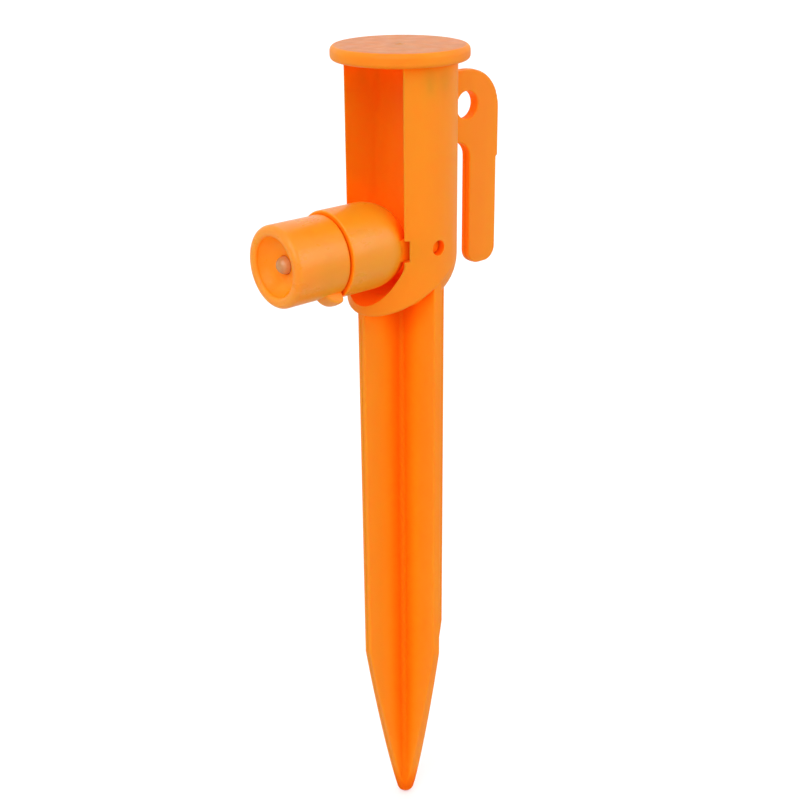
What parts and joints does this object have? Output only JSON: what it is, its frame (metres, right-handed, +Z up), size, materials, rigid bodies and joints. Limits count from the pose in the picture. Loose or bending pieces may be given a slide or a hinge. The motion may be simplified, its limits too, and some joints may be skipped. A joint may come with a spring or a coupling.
{
  "type": "ground stake with folding lamp",
  "caption": "Orange plastic ground stake: finned spike, open-fronted channel tube, hammer cap, line hook with cord eye, and a lamp barrel that folds out of the channel and twists on.",
  "frame": {"origin": "tip of the spike", "axes": "+Z up along the stake, -Y the channel's open front and the way the lamp points when folded out, +Y the hook, X the barrel's swing axis"},
  "size_m": [0.0386, 0.0828, 0.25],
  "materials": {
    "stake_plastic": "satin orange moulding",
    "cap_plastic": "satin orange, worn by the hammer",
    "barrel_plastic": "satin orange moulding",
    "nose_plastic": "satin orange moulding",
    "seal_rubber": "black soft rubber",
    "grommet_rubber": "grey rubber",
    "carrier_plastic": "natural white nylon",
    "led_clear": "clear epoxy",
    "tinned_wire": "tinned",
    "board_laminate": "green solder mask",
    "resistor_body": "black ceramic chip",
    "contact_brass": "plain brass",
    "sleeve_plastic": "black moulded insert",
    "cell_steel": "nickel-plated can",
    "spring_steel": "nickel-plated wire"
  },
  "bodies": {
    "stake": {"stake_body": "stake_plastic", "strike_cap": "cap_plastic"},
    "barrel": {"barrel_housing": "barrel_plastic", "cell_sleeve": "sleeve_plastic", "button_cell_1": "cell_steel", "button_cell_2": "cell_steel", "button_cell_3": "cell_steel", "rear_spring": "spring_steel", "rear_contact_plate": "contact_brass", "return_strip": "contact_brass"},
    "nose": {"twist_nose": "nose_plastic", "nose_o_ring": "seal_rubber"},
    "carrier": {"led_carrier": "carrier_plastic", "led_grommet": "grommet_rubber", "led_dome": "led_clear", "led_anode_leg": "tinned_wire", "led_cathode_leg": "tinned_wire", "led_board": "board_laminate", "board_resistor": "resistor_body", "centre_contact": "contact_brass", "contact_ring": "contact_brass"}
  },
  "joints": [
    {"name": "barrel_swing", "type": "hinge", "parent": "stake", "child": "barrel", "pos_m": [0, 0, 0.1956], "axis": [-1, 0, 0], "range_deg": [-10, 90]},
    {"name": "nose_twist", "type": "hinge", "parent": "barrel", "child": "nose", "pos_m": [0, -0.03, 0.1956], "axis": [0, 1, 0], "range_deg": [0, 60]},
    {"name": "carrier_slide", "type": "slide", "parent": "barrel", "child": "carrier", "axis": [0, 1, 0], "range_m": [0, 0.0008]}
  ],
  "couplings": [
    {"joint": "carrier_slide", "follows": "nose_twist", "m_per_rad": 0.00076}
  ]
}
